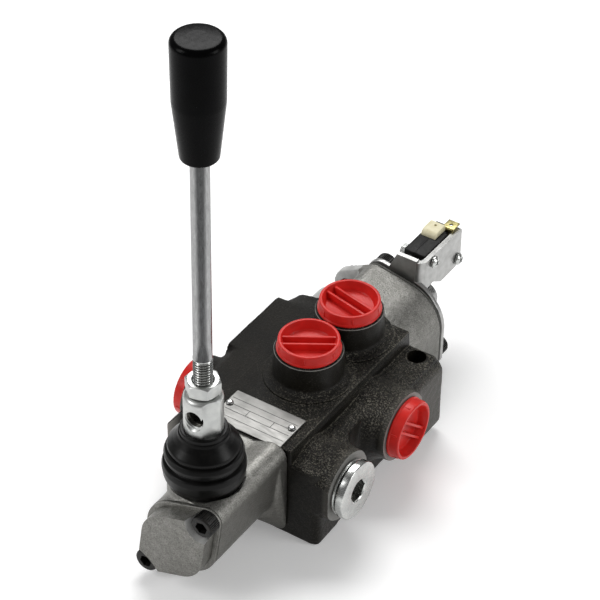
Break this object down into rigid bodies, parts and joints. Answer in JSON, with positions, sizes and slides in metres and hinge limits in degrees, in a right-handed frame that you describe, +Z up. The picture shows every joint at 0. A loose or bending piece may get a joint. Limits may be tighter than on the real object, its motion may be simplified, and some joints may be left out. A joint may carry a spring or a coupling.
{
  "type": "hydraulic directional control valve",
  "caption": "Hydraulic monoblock directional valve: cast block with capped ports, relief plug, booted hand lever on a cast housing, and a switch bracket on the rear spring drum.",
  "frame": {"origin": "on the body's flat underside, below the spool's axis and midway along the body", "axes": "+Z up, +Y along the spool towards the switch (the lever is at -Y), +X towards the inlet port and the relief plug"},
  "size_m": [0.0953, 0.2136, 0.2575],
  "materials": {
    "cast_iron": "rough sand-cast iron, dark brown-black, with machined grey port faces",
    "cast_aluminium": "matt die-cast grey",
    "red_plastic": "soft satin polyethylene",
    "zinc_plate": "bright zinc plated steel",
    "bare_steel": "ground bare steel",
    "black_steel": "black oxide",
    "rubber": "satin black rubber",
    "black_plastic": "smooth black plastic",
    "cream_plastic": "cream nylon",
    "brass": "bright brass",
    "plate_aluminium": "satin sheet with fine dark rules"
  },
  "bodies": {
    "valve": {"valve_body": "cast_iron", "rating_plate": "plate_aluminium", "plate_rivet_left": "bare_steel", "plate_rivet_right": "bare_steel", "port_cap_a": "red_plastic", "port_cap_b": "red_plastic", "port_cap_inlet": "red_plastic", "port_cap_tank": "red_plastic", "relief_seal": "zinc_plate", "relief_plug": "zinc_plate", "check_seat": "bare_steel", "spool_seal_front": "rubber", "spool_seal_rear": "rubber", "spring_seat_outer": "zinc_plate", "lever_housing": "cast_aluminium", "end_cover": "cast_aluminium", "front_screw_upper": "black_steel", "front_screw_lower": "black_steel", "pivot_pin": "bare_steel", "boot": "rubber", "spring_housing": "cast_aluminium", "ear_screw": "zinc_plate", "drum_gasket": "rubber", "switch_bracket": "zinc_plate", "rear_screw_upper": "black_steel", "rear_screw_lower": "black_steel", "switch_body": "black_plastic", "switch_screw_front": "zinc_plate", "switch_screw_rear": "zinc_plate", "switch_nut_front": "zinc_plate", "switch_nut_rear": "zinc_plate", "terminal_hood": "cream_plastic", "terminal_tab": "brass", "centring_spring": "bare_steel", "relief_spring": "bare_steel", "check_spring": "bare_steel"},
    "lever": {"lever_holder": "zinc_plate", "lock_nut": "zinc_plate", "lever_rod": "zinc_plate", "lever_knob": "black_plastic"},
    "spool": {"spool": "bare_steel", "spring_seat_inner": "zinc_plate", "spool_stud": "black_steel", "switch_actuator": "zinc_plate"},
    "switch_plunger": {"switch_plunger": "red_plastic"},
    "relief_poppet": {"relief_poppet": "bare_steel"},
    "check_poppet": {"check_poppet": "bare_steel"}
  },
  "joints": [
    {"name": "lever_tilt", "type": "hinge", "parent": "valve", "child": "lever", "pos_m": [0, -0.07765, 0.048], "axis": [1, 0, 0], "range_deg": [-15.6, 15.6], "deforming": ["boot"]},
    {"name": "spool_slide", "type": "slide", "parent": "valve", "child": "spool", "axis": [0, 1, 0], "range_m": [-0.0058, 0.0058], "stiffness_N_per_m": 8000, "deforming": ["centring_spring"]},
    {"name": "switch_plunger_press", "type": "slide", "parent": "valve", "child": "switch_plunger", "axis": [0, 0, 1], "range_m": [0, 0.0012], "stiffness_N_per_m": 1200, "springref_m": -0.0005},
    {"name": "relief_poppet_lift", "type": "slide", "parent": "valve", "child": "relief_poppet", "axis": [1, 0, 0], "range_m": [0, 0.0025], "stiffness_N_per_m": 6000, "springref_m": -0.001, "deforming": ["relief_spring"]},
    {"name": "check_poppet_lift", "type": "slide", "parent": "valve", "child": "check_poppet", "axis": [-1, 0, 0], "range_m": [0, 0.0025], "stiffness_N_per_m": 400, "springref_m": -0.001, "deforming": ["check_spring"]}
  ],
  "couplings": [
    {"joint": "spool_slide", "follows": "lever_tilt", "m_per_rad": 0.0213}
  ]
}
